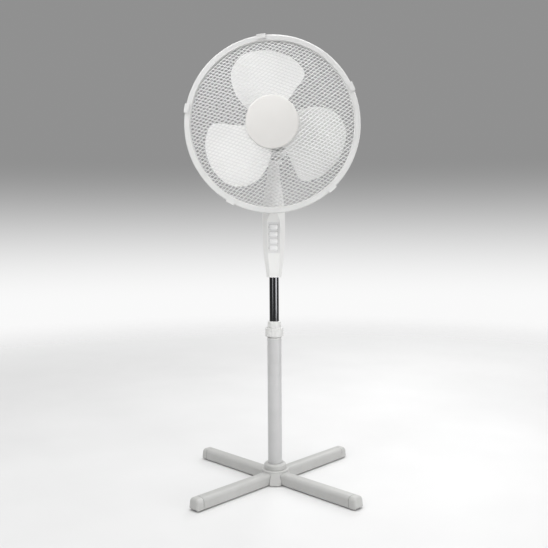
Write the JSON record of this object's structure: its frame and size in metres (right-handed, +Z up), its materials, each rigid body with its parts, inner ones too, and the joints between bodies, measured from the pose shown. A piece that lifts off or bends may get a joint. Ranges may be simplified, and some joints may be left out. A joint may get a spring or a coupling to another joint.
{
  "type": "pedestal fan",
  "caption": "Free-standing pedestal fan: cross base, telescopic column, push-button housing, and a tilting, swinging head with a lobed blade in a diamond-mesh guard.",
  "frame": {"origin": "on the floor under the axis of the column, at the middle of the base", "axes": "+Z up along the column, -Y the way the head faces, +X to the right seen from the front"},
  "size_m": [0.4408, 0.4424, 1.1648],
  "materials": {
    "leg_paint": "satin",
    "base_plastic": "satin",
    "column_paint": "satin",
    "tube_chrome": "polished",
    "white_plastic": "gloss",
    "panel_plastic": "matt",
    "button_plastic": "satin",
    "guard_plastic": "gloss",
    "badge_plastic": "gloss",
    "blade_plastic": "gloss",
    "steel": "plain",
    "cast_metal": "as cast",
    "copper_wire": "lacquered",
    "nylon": "moulded",
    "dark_plastic": "matt",
    "rubber": "matt"
  },
  "bodies": {
    "stand": {"leg_front_left": "leg_paint", "leg_front_right": "leg_paint", "leg_rear_right": "leg_paint", "leg_rear_left": "leg_paint", "base_hub": "base_plastic", "leg_end_caps": "base_plastic", "foot_pads": "rubber", "leg_screws": "steel", "base_bolt": "steel", "base_collar": "base_plastic", "outer_tube": "column_paint", "height_sleeve": "white_plastic"},
    "height_lock": {"lock_nut": "white_plastic"},
    "riser": {"inner_tube": "tube_chrome", "guide_bush": "nylon", "housing_front": "white_plastic", "housing_rear": "white_plastic", "housing_screws": "steel", "button_panel": "panel_plastic", "switch_block": "dark_plastic", "capacitor": "dark_plastic", "cord_gland": "rubber", "tilt_bolt": "steel", "tilt_nut": "steel"},
    "press_high": {"button_high": "button_plastic"},
    "press_medium": {"button_medium": "button_plastic"},
    "press_low": {"button_low": "button_plastic"},
    "press_off": {"button_off": "button_plastic"},
    "tilting_neck": {"neck": "white_plastic", "swivel_bush": "nylon", "neck_screws": "steel"},
    "link_set": {"oscillation_link": "steel"},
    "head": {"gearbox_case": "cast_metal", "gearbox_lid": "cast_metal", "swivel_post": "steel", "motor_front_frame": "cast_metal", "motor_rear_frame": "cast_metal", "motor_bearings": "steel", "stator_core": "steel", "stator_windings": "copper_wire", "motor_cover": "white_plastic", "cover_screws": "steel", "front_guard": "guard_plastic", "rear_guard": "guard_plastic", "guard_nut": "white_plastic", "guard_band": "guard_plastic", "guard_clips": "guard_plastic", "centre_badge": "badge_plastic"},
    "blade_set": {"rotor": "steel", "motor_shaft": "steel", "fan_blade": "blade_plastic", "drive_pin": "steel", "blade_nut": "blade_plastic"},
    "worm_wheel_set": {"worm_wheel": "nylon"},
    "pinion_set": {"clutch_pinion": "nylon"},
    "crank_set": {"crank": "nylon"},
    "clutch": {"clutch_spindle": "steel", "oscillation_knob": "white_plastic"}
  },
  "joints": [
    {"name": "height_lock_turn", "type": "hinge", "parent": "stand", "child": "height_lock", "pos_m": [0, 0, 0.4139], "axis": [0, 0, 1], "range_deg": [0, 180]},
    {"name": "height_slide", "type": "slide", "parent": "stand", "child": "riser", "axis": [0, 0, 1], "range_m": [-0.108, 0.11]},
    {"name": "button_high_press", "type": "slide", "parent": "riser", "child": "press_high", "axis": [0, 1, 0], "range_m": [0, 0.003], "stiffness_N_per_m": 500},
    {"name": "button_medium_press", "type": "slide", "parent": "riser", "child": "press_medium", "axis": [0, 1, 0], "range_m": [0, 0.003], "stiffness_N_per_m": 500},
    {"name": "button_low_press", "type": "slide", "parent": "riser", "child": "press_low", "axis": [0, 1, 0], "range_m": [0, 0.003], "stiffness_N_per_m": 500},
    {"name": "button_off_press", "type": "slide", "parent": "riser", "child": "press_off", "axis": [0, 1, 0], "range_m": [0, 0.003], "stiffness_N_per_m": 500},
    {"name": "head_tilt", "type": "hinge", "parent": "riser", "child": "tilting_neck", "pos_m": [0, 0, 0.8239], "axis": [-1, 0, 0], "range_deg": [-12, 25]},
    {"name": "head_swing", "type": "hinge", "parent": "tilting_neck", "child": "head", "pos_m": [0, 0, 0.9479], "axis": [0, 0, 1], "range_deg": [-40, 40]},
    {"name": "blade_spin", "type": "hinge", "parent": "head", "child": "blade_set", "pos_m": [0, 0, 0.9479], "axis": [0, 1, 0], "continuous": true},
    {"name": "worm_wheel_turn", "type": "hinge", "parent": "head", "child": "worm_wheel_set", "pos_m": [0.017, 0.02019, 0.9479], "axis": [0, 0, 1], "continuous": true},
    {"name": "pinion_turn", "type": "hinge", "parent": "head", "child": "pinion_set", "pos_m": [0.017, 0.02019, 0.9479], "axis": [0, 0, 1], "range_deg": [-172, 172]},
    {"name": "crank_turn", "type": "hinge", "parent": "head", "child": "crank_set", "pos_m": [0, 0.032, 0.8825], "axis": [0, 0, 1], "range_deg": [-62, 62]},
    {"name": "link_turn", "type": "hinge", "parent": "tilting_neck", "child": "link_set", "pos_m": [0.01732, 0.01, 0.875], "axis": [0, 0, 1], "range_deg": [-44, 44]},
    {"name": "clutch_slide", "type": "slide", "parent": "head", "child": "clutch", "axis": [0, 0, 1], "range_m": [-0.006, 0]}
  ],
  "couplings": [
    {"joint": "worm_wheel_turn", "follows": "blade_spin", "ratio": 0.05},
    {"joint": "crank_turn", "follows": "head_swing", "ratio": -1.52},
    {"joint": "pinion_turn", "follows": "head_swing", "ratio": 4.256},
    {"joint": "link_turn", "follows": "head_swing", "ratio": 1.08}
  ]
}
